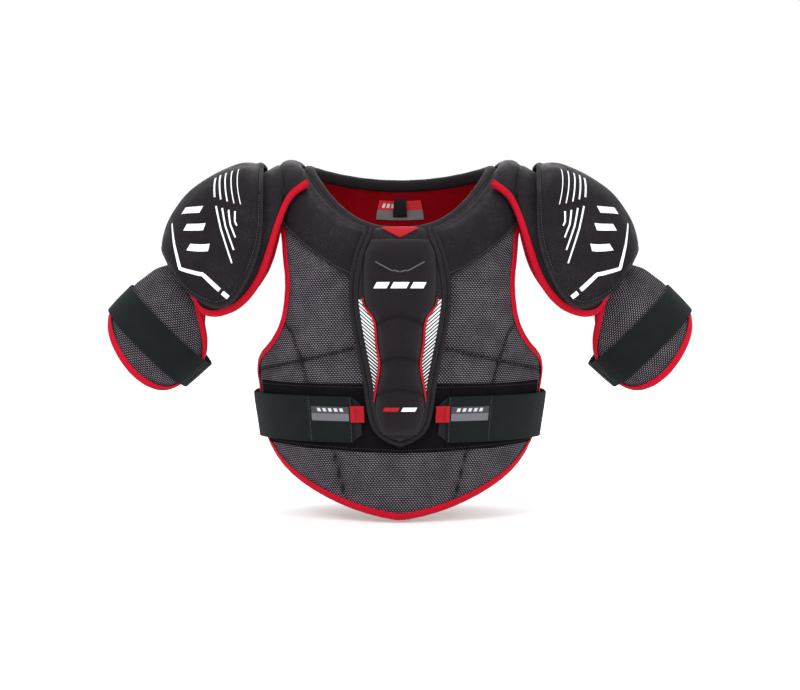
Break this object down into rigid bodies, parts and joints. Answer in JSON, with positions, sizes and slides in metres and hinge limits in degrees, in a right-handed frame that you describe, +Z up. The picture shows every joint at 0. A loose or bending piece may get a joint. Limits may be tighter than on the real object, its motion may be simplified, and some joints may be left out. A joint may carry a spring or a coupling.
{
  "type": "hockey shoulder pads",
  "caption": "Padded protective vest with a floating breastbone pad, waist belts, and shoulder caps and upper arm guards on raising shoulder wings.",
  "frame": {"origin": "midway between the wearer's shoulders, level with the inner face of the vest's shoulder seams", "axes": "+Z up, +X towards the right of someone facing the front (the wearer's left), -Y out of the front"},
  "size_m": [0.699, 0.264, 0.4191],
  "materials": {
    "chest_mesh": "dark grey air mesh with small pale dashes",
    "foam": "closed-cell foam sheet",
    "brushed_lining": "brushed deep red knit",
    "edge_tape": "bright red folded tape",
    "black_tape": "black folded tape",
    "black_twill": "black textured fabric with a slight sheen",
    "moulded_twill": "black fabric pressed over foam",
    "elastic": "black ribbed elastic",
    "loop_pile": "black loop pile",
    "hook_tape": "black hook tape",
    "moulded_plastic": "black moulded polyethylene",
    "red_rubber": "satin red",
    "pale_insert": "white weave with fine dark diagonals",
    "label": "woven grey label"
  },
  "bodies": {
    "vest": {"front_cover": "chest_mesh", "front_foam": "foam", "front_liner": "brushed_lining", "back_cover": "chest_mesh", "back_foam": "foam", "back_liner": "brushed_lining", "front_binding": "edge_tape", "back_binding": "edge_tape", "neck_binding": "black_tape", "front_yoke_right": "black_twill", "front_yoke_left": "black_twill", "back_yoke": "black_twill", "loop_band": "loop_pile", "spine_plate": "moulded_plastic", "neck_label": "label", "hanging_loop": "black_tape", "belt_back_right": "elastic", "belt_back_left": "elastic"},
    "breastbone": {"sternum_pad": "black_twill", "sternum_piping": "black_tape", "sternum_shell": "moulded_twill", "sternum_trim_right": "red_rubber", "sternum_trim_left": "red_rubber", "sternum_insert_right": "pale_insert", "sternum_insert_left": "pale_insert", "sternum_accent": "red_rubber"},
    "belt_right": {"belt_right": "elastic", "belt_hook_tab_right": "hook_tape", "belt_pull_right": "red_rubber", "belt_tag_right": "label"},
    "shoulder_right": {"wing_pad_right": "black_twill", "wing_binding_right": "edge_tape"},
    "cap_right": {"cap_cover_right": "black_twill", "cap_shell_right": "moulded_plastic", "cap_foam_right": "foam"},
    "arm_right": {"arm_guard_right": "chest_mesh", "arm_guard_binding_right": "edge_tape", "arm_strap_right": "elastic"},
    "strap_tail_right": {"arm_strap_tail_right": "elastic"},
    "belt_left": {"belt_left": "elastic", "belt_hook_tab_left": "hook_tape", "belt_pull_left": "red_rubber", "belt_tag_left": "label"},
    "shoulder_left": {"wing_pad_left": "black_twill", "wing_binding_left": "edge_tape"},
    "cap_left": {"cap_cover_left": "black_twill", "cap_shell_left": "moulded_plastic", "cap_foam_left": "foam"},
    "arm_left": {"arm_guard_left": "chest_mesh", "arm_guard_binding_left": "edge_tape", "arm_strap_left": "elastic"},
    "strap_tail_left": {"arm_strap_tail_left": "elastic"}
  },
  "joints": [
    {"name": "sternum_lift", "type": "hinge", "parent": "vest", "child": "breastbone", "pos_m": [0, -0.096, -0.063], "axis": [-1, 0, 0], "range_deg": [0, 25]},
    {"name": "belt_open_right", "type": "hinge", "parent": "vest", "child": "belt_right", "pos_m": [0.1745, 0, -0.2795], "axis": [0, 0, 1], "range_deg": [0, 70]},
    {"name": "shoulder_raise_right", "type": "hinge", "parent": "vest", "child": "shoulder_right", "pos_m": [0.112, 0, 0.02], "axis": [0, -1, 0], "range_deg": [0, 45]},
    {"name": "cap_lift_right", "type": "hinge", "parent": "shoulder_right", "child": "cap_right", "pos_m": [0.161, 0, 0.02], "axis": [0, -1, 0], "range_deg": [0, 30]},
    {"name": "arm_swing_right", "type": "hinge", "parent": "shoulder_right", "child": "arm_right", "pos_m": [0.2318, 0, -0.1178], "axis": [0.7071, 0, 0.7071], "range_deg": [-10, 10]},
    {"name": "strap_open_right", "type": "hinge", "parent": "arm_right", "child": "strap_tail_right", "pos_m": [0.2565, 0.0457, -0.2205], "axis": [0.7071, 0, -0.7071], "range_deg": [0, 35]},
    {"name": "belt_open_left", "type": "hinge", "parent": "vest", "child": "belt_left", "pos_m": [-0.1745, 0, -0.2795], "axis": [0, 0, -1], "range_deg": [0, 70]},
    {"name": "shoulder_raise_left", "type": "hinge", "parent": "vest", "child": "shoulder_left", "pos_m": [-0.112, 0, 0.02], "axis": [0, 1, 0], "range_deg": [0, 45]},
    {"name": "cap_lift_left", "type": "hinge", "parent": "shoulder_left", "child": "cap_left", "pos_m": [-0.161, 0, 0.02], "axis": [0, 1, 0], "range_deg": [0, 30]},
    {"name": "arm_swing_left", "type": "hinge", "parent": "shoulder_left", "child": "arm_left", "pos_m": [-0.2318, 0, -0.1178], "axis": [0.7071, 0, -0.7071], "range_deg": [-10, 10]},
    {"name": "strap_open_left", "type": "hinge", "parent": "arm_left", "child": "strap_tail_left", "pos_m": [-0.2565, 0.0457, -0.2205], "axis": [0.7071, 0, 0.7071], "range_deg": [0, 35]}
  ]
}
